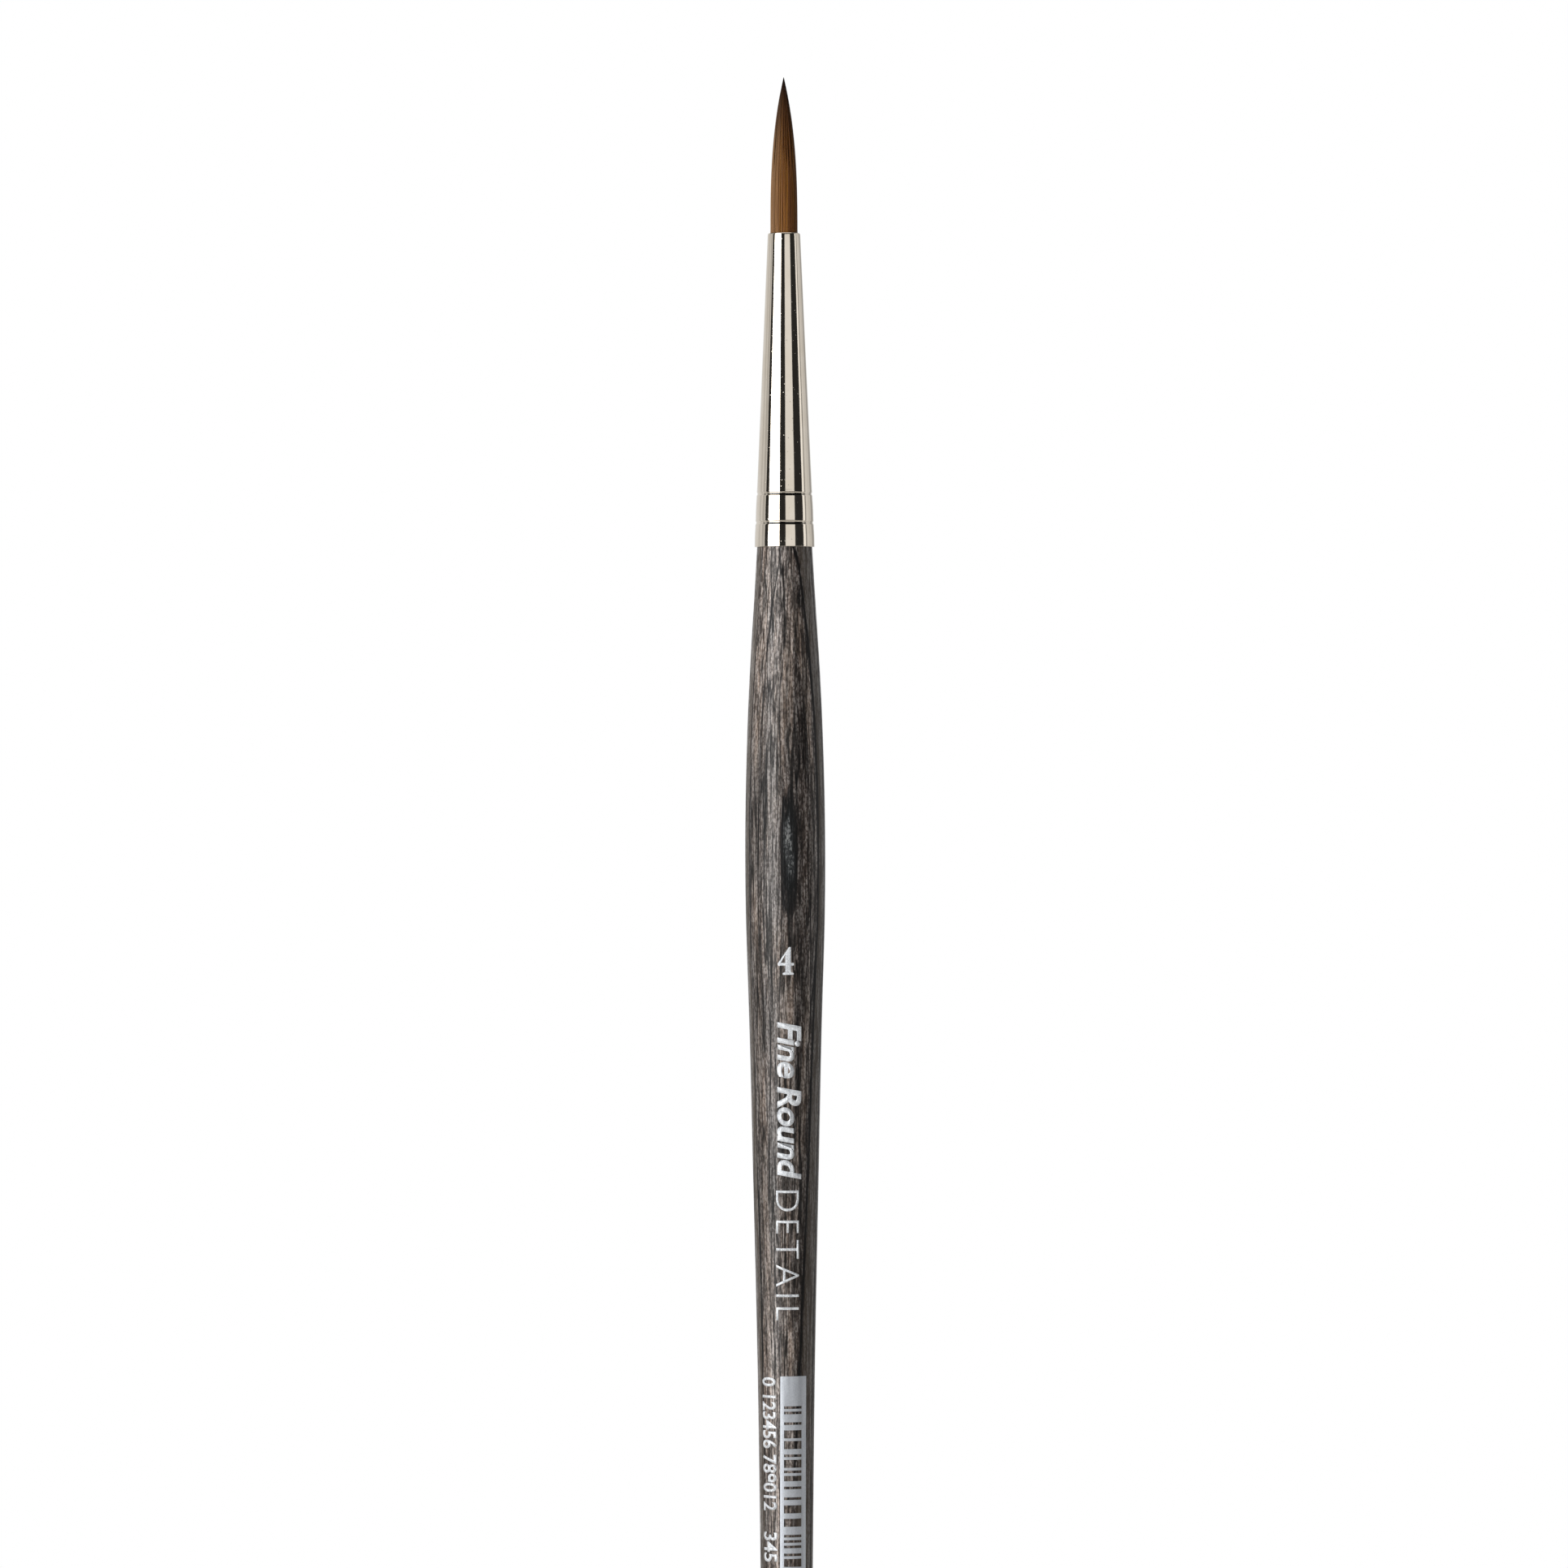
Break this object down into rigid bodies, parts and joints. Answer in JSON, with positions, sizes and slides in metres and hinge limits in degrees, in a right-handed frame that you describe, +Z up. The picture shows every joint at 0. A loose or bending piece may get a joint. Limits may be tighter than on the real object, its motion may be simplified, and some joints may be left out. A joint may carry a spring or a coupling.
{
  "type": "detail paint brush",
  "caption": "Fine pointed round brush: slim turned wooden handle, conical crimped metal ferrule and a flexing tuft that ends in a point.",
  "frame": {"origin": "centre of the handle's tail end, on the brush's axis", "axes": "+Z up the brush's axis from the tail end to the tip of the tuft, X to the right and Y away from the side that carries the printing"},
  "size_m": [0.0078, 0.0078, 0.1864],
  "materials": {
    "stained_wood": "satin lacquer over an anthracite stain, open grain",
    "nickel_plate": "bright nickel-plated brass, drawn and polished",
    "adhesive": "clear amber glue",
    "resin": "cast epoxy resin",
    "thread": "twisted polyester thread",
    "filament": "tapered brown synthetic filaments, soft sheen"
  },
  "bodies": {
    "brush": {"handle": "stained_wood", "ferrule": "nickel_plate", "handle_adhesive": "adhesive", "tuft_resin": "resin", "binding_thread": "thread", "tuft_root": "filament"},
    "heel": {"tuft_heel": "filament"},
    "belly": {"tuft_belly": "filament"},
    "shoulder": {"tuft_shoulder": "filament"},
    "point": {"tuft_point": "filament"}
  },
  "joints": [
    {"name": "side_flex_low", "type": "hinge", "parent": "brush", "child": "heel", "pos_m": [0, 0, 0.1727], "axis": [0, 1, 0], "range_deg": [-25, 25], "stiffness_Nm_per_rad": 0.0015},
    {"name": "fore_flex_low", "type": "hinge", "parent": "heel", "child": "belly", "pos_m": [0, 0, 0.1755], "axis": [1, 0, 0], "range_deg": [-25, 25], "stiffness_Nm_per_rad": 0.0014},
    {"name": "side_flex_high", "type": "hinge", "parent": "belly", "child": "shoulder", "pos_m": [0, 0, 0.1783], "axis": [0, 1, 0], "range_deg": [-25, 25], "stiffness_Nm_per_rad": 0.0011},
    {"name": "fore_flex_high", "type": "hinge", "parent": "shoulder", "child": "point", "pos_m": [0, 0, 0.1811], "axis": [1, 0, 0], "range_deg": [-25, 25], "stiffness_Nm_per_rad": 0.0007}
  ]
}
